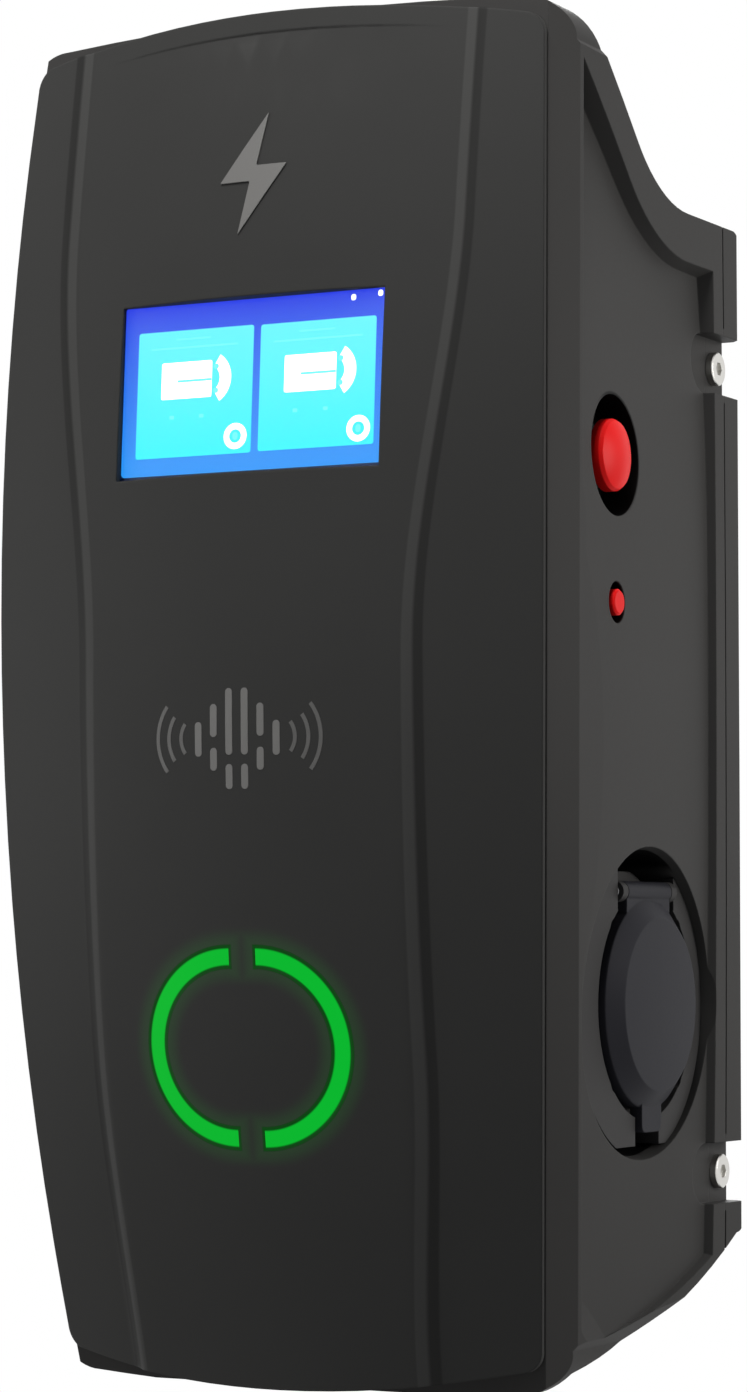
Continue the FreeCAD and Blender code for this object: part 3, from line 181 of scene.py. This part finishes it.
finishes = {
    "housing_plastic": {"color": (0.044, 0.043, 0.042), "rough": 0.5, "drift": 0.06,
                        "bump": 0.25, "edge": 0.0008, "specular": 0.06},
    "cover_plastic": {"color": (0.040, 0.040, 0.039), "rough": 0.52, "drift": 0.06,
                      "bump": 0.2, "edge": 0.0012, "specular": 0.06},
    "seal_rubber": {"color": (0.012, 0.012, 0.012), "rough": 0.7, "fine": 500.0, "specular": 0.1},
    "zinc_steel": {"color": (0.52, 0.52, 0.53), "rough": 0.35, "metal": 1.0, "fine": 1500.0},
    "screw_steel": {"color": (0.62, 0.61, 0.58), "rough": 0.3, "metal": 1.0, "fine": 1500.0},
    "galvanised_sheet": {"color": (0.45, 0.46, 0.48), "rough": 0.45, "metal": 1.0,
                         "broad": 90.0, "drift": 0.2},
    "display_panel": {"color": (0.01, 0.03, 0.12), "rough": 0.3},
    "circuit_board": {"color": (0.012, 0.07, 0.03), "rough": 0.4, "broad": 240.0,
                      "drift": 0.3, "specular": 0.2},
    "socket_plastic": {"color": (0.042, 0.041, 0.041), "rough": 0.45, "bump": 0.2,
                       "edge": 0.0006, "specular": 0.06},
    "flap_plastic": {"color": (0.023, 0.023, 0.028), "rough": 0.45, "bump": 0.15,
                     "edge": 0.001, "specular": 0.06},
    "contact_brass": {"color": (0.62, 0.43, 0.16), "rough": 0.3, "metal": 1.0},
    "black_plastic": {"color": (0.010, 0.010, 0.010), "rough": 0.45, "specular": 0.06},
    "red_plastic": {"color": (0.88, 0.008, 0.008), "rough": 0.4, "bump": 0.05,
                    "edge": 0.0006, "specular": 0.1},
    "device_plastic": {"color": (0.52, 0.53, 0.53), "rough": 0.5, "specular": 0.3},
}


def makeGrainGroup():
    group = bpy.data.node_groups.new("mouldedGrain", "ShaderNodeTree")
    for name, scale in (("Fine", plainFinish["fine"]), ("Broad", plainFinish["broad"])):
        socket = group.interface.new_socket(name, in_out="INPUT", socket_type="NodeSocketFloat")
        socket.default_value = scale
    for name in ("Height", "Drift"):
        group.interface.new_socket(name, in_out="OUTPUT", socket_type="NodeSocketFloat")
    start = addNode(group, "NodeGroupInput")
    end = addNode(group, "NodeGroupOutput")
    place = addNode(group, "ShaderNodeTexCoord")
    fine = addNode(group, "ShaderNodeTexNoise", Detail=3.0, Roughness=0.6)
    broad = addNode(group, "ShaderNodeTexNoise", Detail=2.0, Roughness=0.5)
    for pattern, given, taken in ((fine, "Fine", "Height"), (broad, "Broad", "Drift")):
        group.links.new(place.outputs["Object"], pattern.inputs["Vector"])
        group.links.new(start.outputs[given], pattern.inputs["Scale"])
        group.links.new(pattern.outputs["Fac"], end.inputs[taken])
    return group


grain = makeGrainGroup()


def surface(name, changes):
    finish = {**plainFinish, **changes}
    material, tree, shader = newMaterial(name)
    pattern = addNode(tree, "ShaderNodeGroup", node_tree=grain, Fine=finish["fine"],
                      Broad=finish["broad"])
    color = tint(tree, finish["color"], finish["drift"], pattern.outputs["Drift"])
    tree.links.new(color, shader.inputs["Base Color"])
    height = pattern.outputs["Height"]
    low, high = finish["rough"] - finish["spread"], finish["rough"] + finish["spread"]
    tree.links.new(fade(tree, height, 0.0, 1.0, low, high, "LINEAR"), shader.inputs["Roughness"])
    edge = addNode(tree, "ShaderNodeBevel", Radius=finish["edge"], samples=4)
    bump = addNode(tree, "ShaderNodeBump", Strength=finish["bump"], Distance=finish["grainDepth"])
    tree.links.new(height, bump.inputs["Height"])
    tree.links.new(edge.outputs["Normal"], bump.inputs["Normal"])
    tree.links.new(bump.outputs["Normal"], shader.inputs["Normal"])
    shader.inputs["Metallic"].default_value = finish["metal"]
    shader.inputs["Specular IOR Level"].default_value = finish["specular"]
    return material


# Lit plastic, with a faint drift in what it is and in its light

litFinish = {"scale": 60.0, "baseDrift": 0.05, "lightDrift": 0.04, "rough": 0.35}


def litBase(name, base):
    material, tree, shader = newMaterial(name)
    drift = noise(tree, litFinish["scale"])
    tree.links.new(tint(tree, base, litFinish["baseDrift"], drift), shader.inputs["Base Color"])
    shader.inputs["Emission Strength"].default_value = 1.0
    shader.inputs["Roughness"].default_value = litFinish["rough"]
    return material, tree, shader, drift


def lit(name, color, base):
    material, tree, shader, drift = litBase(name, base)
    light = tint(tree, color, litFinish["lightDrift"], drift)
    tree.links.new(light, shader.inputs["Emission Color"])
    return material


windowPane = {
    "haze": 25.0,  # scale of the drift in its roughness
    "rough": (0.01, 0.05),
    "color": (0.9, 0.95, 1.0),
    "ior": 1.2,
}


def windowGlass():
    material, tree, shader = newMaterial("windowGlass")
    rough = fade(tree, noise(tree, windowPane["haze"]), 0.0, 1.0, *windowPane["rough"], "LINEAR")
    tree.links.new(rough, shader.inputs["Roughness"])
    shader.inputs["Base Color"].default_value = [*windowPane["color"], 1.0]
    shader.inputs["Transmission Weight"].default_value = 1.0
    shader.inputs["IOR"].default_value = windowPane["ior"]
    return material


# Status light: two lit halves, with a line of painted shade and a painted glow on the cover round
# them

statusLight = {
    "centre": (0.0057, -0.127),  # of the right half, across and up
    "radius": 0.0339,  # to the middle of the band
    "stroke": 0.0070,
    "color": (0.0, 0.46, 0.024),
    "base": (0.0, 0.02, 0.002),
    "specular": 0.06,
    "rimWidth": 0.0009,  # where the lit band dims toward its edge
    "rimGlow": 0.12,
    "edge": 0.0011,  # width of the painted shade line on the cover
    "paintedShadeSoft": 0.0003,
    # colour of the painted shade line, and the painted green glow laid over it
    "paintedShadeColor": (0.0015, 0.0015, 0.0015),
    "paintedShadeGlow": 0.11,
    "reach": 0.0070,  # how far the painted glow goes beyond the painted shade
    "paintedFarGlow": 0.045,
}


def lightDistance(tree):
    x, z = coordinates(tree, "XZ")
    across = maths(tree, "SUBTRACT", maths(tree, "ABSOLUTE", x), statusLight["centre"][0])
    up = maths(tree, "SUBTRACT", z, statusLight["centre"][1])
    out = distance(tree, maths(tree, "MAXIMUM", across, 0.0), up)
    fromBand = maths(tree, "ABSOLUTE", maths(tree, "SUBTRACT", out, statusLight["radius"]))
    isPast = maths(tree, "LESS_THAN", across, 0.0)  # beyond the band's square ends
    pastEnd = maths(tree, "MULTIPLY", isPast, statusLight["stroke"] / 2)
    pastEnd = maths(tree, "SUBTRACT", pastEnd, maths(tree, "MINIMUM", across, 0.0))
    return maths(tree, "MAXIMUM", fromBand, pastEnd)


def lightGuide():
    material, tree, shader = litBase("lightGuide", statusLight["base"])[:3]
    rim = statusLight["stroke"] / 2
    level = fade(tree, lightDistance(tree), rim - statusLight["rimWidth"], rim,
                 1.0, statusLight["rimGlow"])
    glowBy(material, level, statusLight["color"])
    shader.inputs["Specular IOR Level"].default_value = statusLight["specular"]
    return material


# Paints shade into the cover's colour in a thin line round the band, and a painted glow that fades
# beyond it
def paintLightOnCover(material):
    tree = material.node_tree
    away = lightDistance(tree)
    rim = statusLight["stroke"] / 2 + statusLight["edge"]
    soft = statusLight["paintedShadeSoft"]
    mask = fade(tree, away, rim - soft, rim + soft)
    paintShade(material, mask, statusLight["paintedShadeColor"])
    near = maths(tree, "MULTIPLY", mask, statusLight["paintedShadeGlow"])
    far = fade(tree, away, rim, rim + statusLight["reach"], statusLight["paintedFarGlow"], 0.0)
    glowBy(material, maths(tree, "MAXIMUM", near, far), statusLight["color"])


# Creases of the cover: a painted highlight along the crest and painted shade along the foot

creaseShading = {
    "waist": 0.0700,  # across from the middle at the waist, and what the top and the bottom add
    "topGrows": 0.0160,
    "bottomGrows": -0.0080,
    "topSpan": (0.020, 0.185),  # up from the origin
    "bottomSpan": (0.130, 0.260),  # down from the origin
    "crest": (-0.0032, -0.0004),  # from the crease, outward
    "foot": (0.0012, 0.0036),
    "soft": 0.0010,
    # how much the painted highlight lightens the colour and the painted shade darkens it
    "highlightBy": 1.45,
    "shadeBy": 0.62,
}


def band(tree, value, low, high, soft):
    rise = fade(tree, value, low - soft, low, 0.0, 1.0)
    return maths(tree, "MULTIPLY", rise, fade(tree, value, high, high + soft))


def paintCreaseShading(material):
    tree = material.node_tree
    target = tree.nodes["Principled BSDF"].inputs["Base Color"]
    x, z = coordinates(tree, "XZ")
    down = maths(tree, "MULTIPLY", z, -1.0)
    higher = fade(tree, z, *creaseShading["topSpan"], 0.0, creaseShading["topGrows"])
    lower = fade(tree, down, *creaseShading["bottomSpan"], 0.0, creaseShading["bottomGrows"])
    half = maths(tree, "ADD", maths(tree, "ADD", higher, lower), creaseShading["waist"])
    past = maths(tree, "SUBTRACT", maths(tree, "ABSOLUTE", x), half)
    color = target.links[0].from_socket
    # the painted highlight and the painted shade are multiplied into the base colour
    for name, change in (("crest", creaseShading["highlightBy"]), ("foot", creaseShading["shadeBy"])):
        mask = band(tree, past, *creaseShading[name], creaseShading["soft"])
        color = blend(tree, mask, color, [change] * 3, "MULTIPLY")
    tree.links.new(color, target)


# Painted shade in the recesses of the sides, darker than the panel round them

recessShade = {
    # place in depth and height, radius, how far out the painted shade ends, up or down, how far
    # from the centre it starts, and the least place across, 0 where only the right side has the
    # recess
    "spots": (
        (-0.1280, 0.0950, 0.0236, 0.1232, 1.0, -1.0, 0.0),
        (-0.1280, 0.0395, 0.0084, 0.1232, 1.0, -1.0, 0.0),
        (-0.0950, -0.1115, 0.0621, 0.1175, 1.0, 0.0500, -1.0),
        (-0.0950, -0.1115, 0.0621, 0.1116, -1.0, 0.0500, -1.0),
    ),
    "soft": 0.0008,
    "startSoft": 0.004,
    # colour of the painted shade
    "color": (0.0015, 0.0015, 0.0015),
}


def paintRecessShade(material):
    tree = material.node_tree
    x, y, z = coordinates(tree, "XYZ")
    out = maths(tree, "ABSOLUTE", x)
    soft, startSoft = recessShade["soft"], recessShade["startSoft"]
    total = None
    for depth, height, radius, limit, way, start, least in recessShade["spots"]:
        up = maths(tree, "SUBTRACT", z, height)
        away = distance(tree, maths(tree, "SUBTRACT", y, depth), up)
        inside = fade(tree, away, radius, radius + soft)
        deep = maths(tree, "MULTIPLY", inside, fade(tree, out, limit - soft, limit))
        along = maths(tree, "MULTIPLY", up, way)
        begun = maths(tree, "MULTIPLY", deep, fade(tree, along, start, start + startSoft, 0.0, 1.0))
        mask = maths(tree, "MULTIPLY", begun, maths(tree, "GREATER_THAN", x, least))
        total = mask if total is None else maths(tree, "MAXIMUM", total, mask)
    paintShade(material, total, recessShade["color"])


def dressNodes():
    made = {name: surface(name, finish) for name, finish in finishes.items()}
    made["window_glass"] = windowGlass()
    made["light_guide"] = lightGuide()
    paintCreaseShading(made["cover_plastic"])
    paintLightOnCover(made["cover_plastic"])
    paintRecessShade(made["housing_plastic"])
    for row in frame["record"]["subparts"]:
        for place in nodes[row["node"]].material_slots:
            place.material = made[row["material_slot"]]
    return len(made)


print("nodes dressed:", dressNodes(), "finishes")


# Helpers for flat printed and lit shapes, drawn in X and Z and facing -Y
# A plate is its centre across and up, its width, its height and the radius of its corners
# An arc is its centre across and up, its radius, its width, where it starts and how far it sweeps

def newPiece(name, bm, material):
    bmesh.ops.recalc_face_normals(bm, faces=bm.faces[:])
    mesh = bpy.data.meshes.new(name)
    bm.to_mesh(mesh)
    bm.free()
    mesh.materials.append(material)
    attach(addObject(name, mesh), "station")


def roundCorners(bm, corners, radius, segments):
    bmesh.ops.bevel(bm, geom=corners, offset=radius, offset_type="OFFSET", affect="VERTICES",
                    segments=segments, profile=0.5, material=-1)


def addPlate(bm, plate, origin=(0.0, 0.0), segments=4):
    across, up, width, height, corner = plate
    turn = Matrix.Rotation(math.radians(90.0), 4, "X")
    spread = Matrix.Diagonal((width, height, 1.0, 1.0))
    place = Matrix.Translation((origin[0] + across, 0.0, origin[1] + up))
    grid = bmesh.ops.create_grid(bm, x_segments=1, y_segments=1, size=0.5,
                                 matrix=place @ turn @ spread)
    if corner:
        roundCorners(bm, grid["verts"], corner, segments)


def addArc(bm, arc, origin=(0.0, 0.0), steps=16):
    across, up, radius, width, start, sweep = arc
    centre = Vector((origin[0] + across, 0.0, origin[1] + up))
    reaches = (radius - width / 2, radius + width / 2)
    ends = [bm.verts.new((origin[0] + across + reach, 0.0, origin[1] + up)) for reach in reaches]
    line = bm.edges.new(ends)
    turn = Matrix.Rotation(math.radians(-start), 3, "Y")
    bmesh.ops.rotate(bm, verts=ends, cent=centre, matrix=turn)
    bmesh.ops.spin(bm, geom=[*ends, line], cent=centre, axis=(0.0, -1.0, 0.0),
                   angle=math.radians(sweep), steps=steps, use_merge=sweep >= 360)


def thicken(bm, thick):
    bmesh.ops.recalc_face_normals(bm, faces=bm.faces[:])
    bmesh.ops.solidify(bm, geom=bm.faces[:], thickness=thick)


# Screen: lit panel and two cards, just behind the glass

screen = {
    "lean": 3.27,  # degrees, as the window leans
    "glass": 0.0025,
    "layer": 0.00012,  # from one layer of the picture to the next
    "base": (0.01, 0.02, 0.05),
    "topColor": (0.022, 0.040, 0.76),
    "bottomColor": (0.015, 0.32, 0.90),
    "cardTop": (0.16, 0.92, 0.95),
    "cardBottom": (0.0, 0.92, 0.95),
    "white": ((1.0, 1.0, 1.0), (0.8, 0.8, 0.8)),  # its light, then what it is unlit
    "faint": ((0.09, 0.72, 0.80), (0.1, 0.3, 0.4)),
    "panel": (0.0, 0.0014, 0.1150, 0.0662, 0.0015),
    "cards": ((-0.0259, -0.0004, 0.0507, 0.0490, 0.001), (0.0272, -0.0004, 0.0494, 0.0485, 0.001)),
    "plugs": ((-0.0295, 0.0047), (0.0243, 0.0042)),
    "plugBody": (0.0, 0.0, 0.0222, 0.0142, 0.0008),
    "plugArc": (0.0091, 0.0, 0.0080, 0.0050, -58.0, 116.0),
    "plugLines": (
        (0.0035, -0.0003, 0.0150, 0.0009, 0.0),
        (0.0130, 0.0045, 0.0022, 0.0020, 0.0008), (0.0130, -0.0048, 0.0022, 0.0020, 0.0008),
        (0.0030, 0.0127, 0.0380, 0.0007, 0.0), (0.0025, 0.0160, 0.0150, 0.0007, 0.0),
        (-0.006, -0.0142, 0.0020, 0.0014, 0.0), (0.007, -0.0142, 0.0020, 0.0014, 0.0),
    ),
    "rings": ((-0.0074, -0.0182), (0.0454, -0.0184)),
    "ringArc": (0.0, 0.0, 0.0038, 0.0024, 0.0, 360.0),
    "ringSteps": 32,
    "ringMark": (0.0, 0.0, 0.0022, 0.0030, 0.001),
    "dots": ((0.0420, 0.0314, 0.0021, 0.0024, 0.0009), (0.0534, 0.0322, 0.0021, 0.0024, 0.0009)),
}


def screenMaterial(name, top, bottom):
    low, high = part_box("display_module")
    material, tree, shader = newMaterial(name)
    z = coordinates(tree, "Z")[0]
    share = fade(tree, z, low.z, high.z, 0.0, 1.0, "LINEAR")
    tree.links.new(blend(tree, share, bottom, top), shader.inputs["Emission Color"])
    shader.inputs["Base Color"].default_value = [*screen["base"], 1.0]
    shader.inputs["Emission Strength"].default_value = 1.0
    return material


def onScreen(name, layer, material, bm):
    low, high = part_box("display_window")
    middle = (low + high) / 2
    face = middle.y + screen["glass"] / 2
    thicken(bm, screen["layer"] / 2)
    lean = Matrix.Rotation(math.radians(-screen["lean"]), 4, "X")
    place = Matrix.Translation((0.0, face - layer * screen["layer"], middle.z))
    bmesh.ops.transform(bm, matrix=place @ lean, verts=bm.verts[:])
    newPiece(name, bm, material)


def makeScreen():
    glow = screenMaterial("screenGlow", screen["topColor"], screen["bottomColor"])
    cardGlow = screenMaterial("screenCard", screen["cardTop"], screen["cardBottom"])
    white = lit("screenWhite", *screen["white"])
    faint = lit("screenFaint", *screen["faint"])

    bm = bmesh.new()
    addPlate(bm, screen["panel"])
    onScreen("screenPanel", 1, glow, bm)

    bm = bmesh.new()
    for card in screen["cards"]:
        addPlate(bm, card)
    onScreen("screenCards", 2, cardGlow, bm)

    bm = bmesh.new()
    for plug in screen["plugs"]:
        addPlate(bm, screen["plugBody"], plug)
        addArc(bm, screen["plugArc"], plug)
    for ring in screen["rings"]:
        addArc(bm, screen["ringArc"], ring, screen["ringSteps"])
    for dot in screen["dots"]:
        addPlate(bm, dot)
    onScreen("screenSymbols", 3, white, bm)

    bm = bmesh.new()
    for plug in screen["plugs"]:
        for line in screen["plugLines"]:
            addPlate(bm, line, plug)
    for ring in screen["rings"]:
        addPlate(bm, screen["ringMark"], ring)
    onScreen("screenLines", 4, faint, bm)


makeScreen()
print("screen made")


# Printed symbols on the cover: contactless card sign and a plain bolt

printing = {
    "longestEdge": 0.002,  # longer edges are cut, so that the print follows the curved cover
    "cuts": 3,
    "ink": {"color": (0.140, 0.138, 0.133), "rough": 0.5, "bump": 0.1},
    "paleInk": {"color": (0.078, 0.077, 0.074), "rough": 0.5, "bump": 0.1},
}


def layOn(bm, cover, lift, thick):
    bmesh.ops.triangulate(bm, faces=bm.faces[:])
    longEdges = [edge for edge in bm.edges if edge.calc_length() > printing["longestEdge"]]
    bmesh.ops.subdivide_edges(bm, edges=longEdges, cuts=printing["cuts"], use_grid_fill=True)
    bmesh.ops.triangulate(bm, faces=bm.faces[:])
    for vertex in bm.verts:
        start = Vector((vertex.co.x, -1.0, vertex.co.z))
        hit = cover.ray_cast(start, Vector((0.0, 1.0, 0.0)))[0]
        vertex.co.y = hit.y - lift
    thicken(bm, thick)


reader = {
    "height": -0.0115,
    "barWidth": 0.0030,
    "barRounding": 0.00145,  # just under half the width, so that the corners don't meet
    "bars": (  # place across, then the lower and upper end of each bar
        (-0.01675, -0.0068, 0.0062), (0.01675, -0.0068, 0.0062),
        (-0.01005, 0.0004, 0.0128), (0.01005, 0.0004, 0.0128),
        (-0.01005, -0.0122, -0.0036), (0.01005, -0.0122, -0.0036),
        (-0.00335, -0.0064, 0.0186), (0.00335, -0.0064, 0.0186),
        (-0.00335, -0.0192, -0.0098), (0.00335, -0.0192, -0.0098),
    ),
    # reach, radius and sweep of each arc
    "arcs": ((0.0245, 0.009, 76.0), (0.0300, 0.014, 72.0), (0.0350, 0.020, 76.0)),
    "arcWidth": 0.0016,
    "lift": 0.00010,
    "thick": 0.00004,
}


def makeReaderSign(cover, ink, paleInk):
    bm = bmesh.new()
    for x, low, high in reader["bars"]:
        up = reader["height"] + (low + high) / 2
        addPlate(bm, (x, up, reader["barWidth"], high - low, reader["barRounding"]), segments=5)
    layOn(bm, cover, reader["lift"], reader["thick"])
    newPiece("readerSign", bm, ink)
    bm = bmesh.new()
    for reach, radius, sweep in reader["arcs"]:
        for centre, side in ((reach - radius, 0.0), (radius - reach, 180.0)):
            start = side - sweep / 2
            addArc(bm, (centre, reader["height"], radius, reader["arcWidth"], start, sweep))
    layOn(bm, cover, reader["lift"], reader["thick"])
    newPiece("readerWaves", bm, paleInk)


boltSign = {
    "centre": (0.0, 0.2030),
    # corners of one half; the other half is the same turned by half a turn
    "half": ((0.00525, 0.0235), (-0.01425, -0.0030), (-0.0012, -0.0030)),
    "rounding": 0.0006,
    "lift": 0.00055,
}


def makeBoltSign(cover, ink):
    bm = bmesh.new()
    across, up = boltSign["centre"]
    outline = [*boltSign["half"], *((-x, -z) for x, z in boltSign["half"])]
    corners = [bm.verts.new((across + x, 0.0, up + z)) for x, z in outline]
    bm.faces.new(corners)
    roundCorners(bm, corners, boltSign["rounding"], 3)
    layOn(bm, cover, boltSign["lift"], boltSign["lift"])
    newPiece("boltSign", bm, ink)


def makeSigns():
    cover = BVHTree.FromObject(nodes["front_cover"], bpy.context.evaluated_depsgraph_get())
    ink = surface("printedInk", printing["ink"])
    paleInk = surface("paleInk", printing["paleInk"])
    makeReaderSign(cover, ink, paleInk)
    makeBoltSign(cover, ink)


makeSigns()
print("signs made")


# Floor, world and lamps

stage = {
    "floorHeight": -1.3,
    "floorSize": 24.0,
    "floorColor": (0.82, 0.82, 0.81),
    "floorRough": 0.8,
    "worldColor": (0.92, 0.95, 1.0),
    "worldStrength": 0.15,
    "lamps": (  # name, place, aimed at, size, watts, colour
        ("keyLamp", (-0.80, -0.55, 0.00), (0.0, -0.15, 0.0), 0.5, 2.4, (1.0, 0.99, 0.97)),
        ("topLamp", (0.10, -0.62, 0.95), (0.0, -0.15, 0.1), 0.5, 10.5, (1.0, 0.99, 0.98)),
        ("sideLamp", (1.00, 0.22, 0.15), (0.1, -0.1, 0.0), 0.45, 5.6, (1.0, 0.98, 0.95)),
        ("rearLamp", (-0.9, 1.6, 0.9), (0.0, 0.0, 0.0), 0.9, 22.0, (1.0, 1.0, 1.0)),
    ),
}


# Plain white where the camera sees it, directly, through the glass or in a reflection

def whiteBackground(tree, plain, kind, target):
    rays = addNode(tree, "ShaderNodeLightPath").outputs
    seen = maths(tree, "MAXIMUM", rays["Is Glossy Ray"], rays["Is Transmission Ray"])
    seen = maths(tree, "MAXIMUM", seen, rays["Is Camera Ray"])
    mix = addNode(tree, "ShaderNodeMixShader")
    white = addNode(tree, kind, Color=(1.0, 1.0, 1.0, 1.0), Strength=1.0)
    tree.links.new(seen, mix.inputs["Fac"])
    tree.links.new(plain, mix.inputs[1])
    tree.links.new(white.outputs[0], mix.inputs[2])
    tree.links.new(mix.outputs["Shader"], target.inputs["Surface"])


def makeFloor():
    bm = bmesh.new()
    bmesh.ops.create_grid(bm, x_segments=1, y_segments=1, size=stage["floorSize"] / 2,
                          matrix=Matrix.Translation((0.0, 0.0, stage["floorHeight"])))
    mesh = bpy.data.meshes.new("floor")
    bm.to_mesh(mesh)
    bm.free()
    floor = addObject("floor", mesh)
    material, tree, shader = newMaterial("paleFloor")
    shader.inputs["Base Color"].default_value = [*stage["floorColor"], 1.0]
    shader.inputs["Roughness"].default_value = stage["floorRough"]
    whiteBackground(tree, shader.outputs["BSDF"], "ShaderNodeEmission",
                    tree.nodes["Material Output"])
    mesh.materials.append(material)


def makeWorld():
    world = bpy.data.worlds.new("studio")
    world.use_nodes = True
    bpy.context.scene.world = world
    tree = world.node_tree
    plain = tree.nodes["Background"]
    plain.inputs["Color"].default_value = [*stage["worldColor"], 1.0]
    plain.inputs["Strength"].default_value = stage["worldStrength"]
    whiteBackground(tree, plain.outputs["Background"], "ShaderNodeBackground",
                    tree.nodes["World Output"])


def makeLamps():
    for name, place, aim, size, power, color in stage["lamps"]:
        data = bpy.data.lights.new(name, "AREA")
        data.shape = "SQUARE"
        data.size = size
        data.energy = power
        data.color = color
        lamp = addObject(name, data)
        lamp.location = place
        lamp.rotation_euler = (Vector(aim) - Vector(place)).to_track_quat("-Z", "Y").to_euler()


makeFloor()
makeWorld()
makeLamps()
bpy.context.scene.view_settings.view_transform = "Standard"
print("stage made")
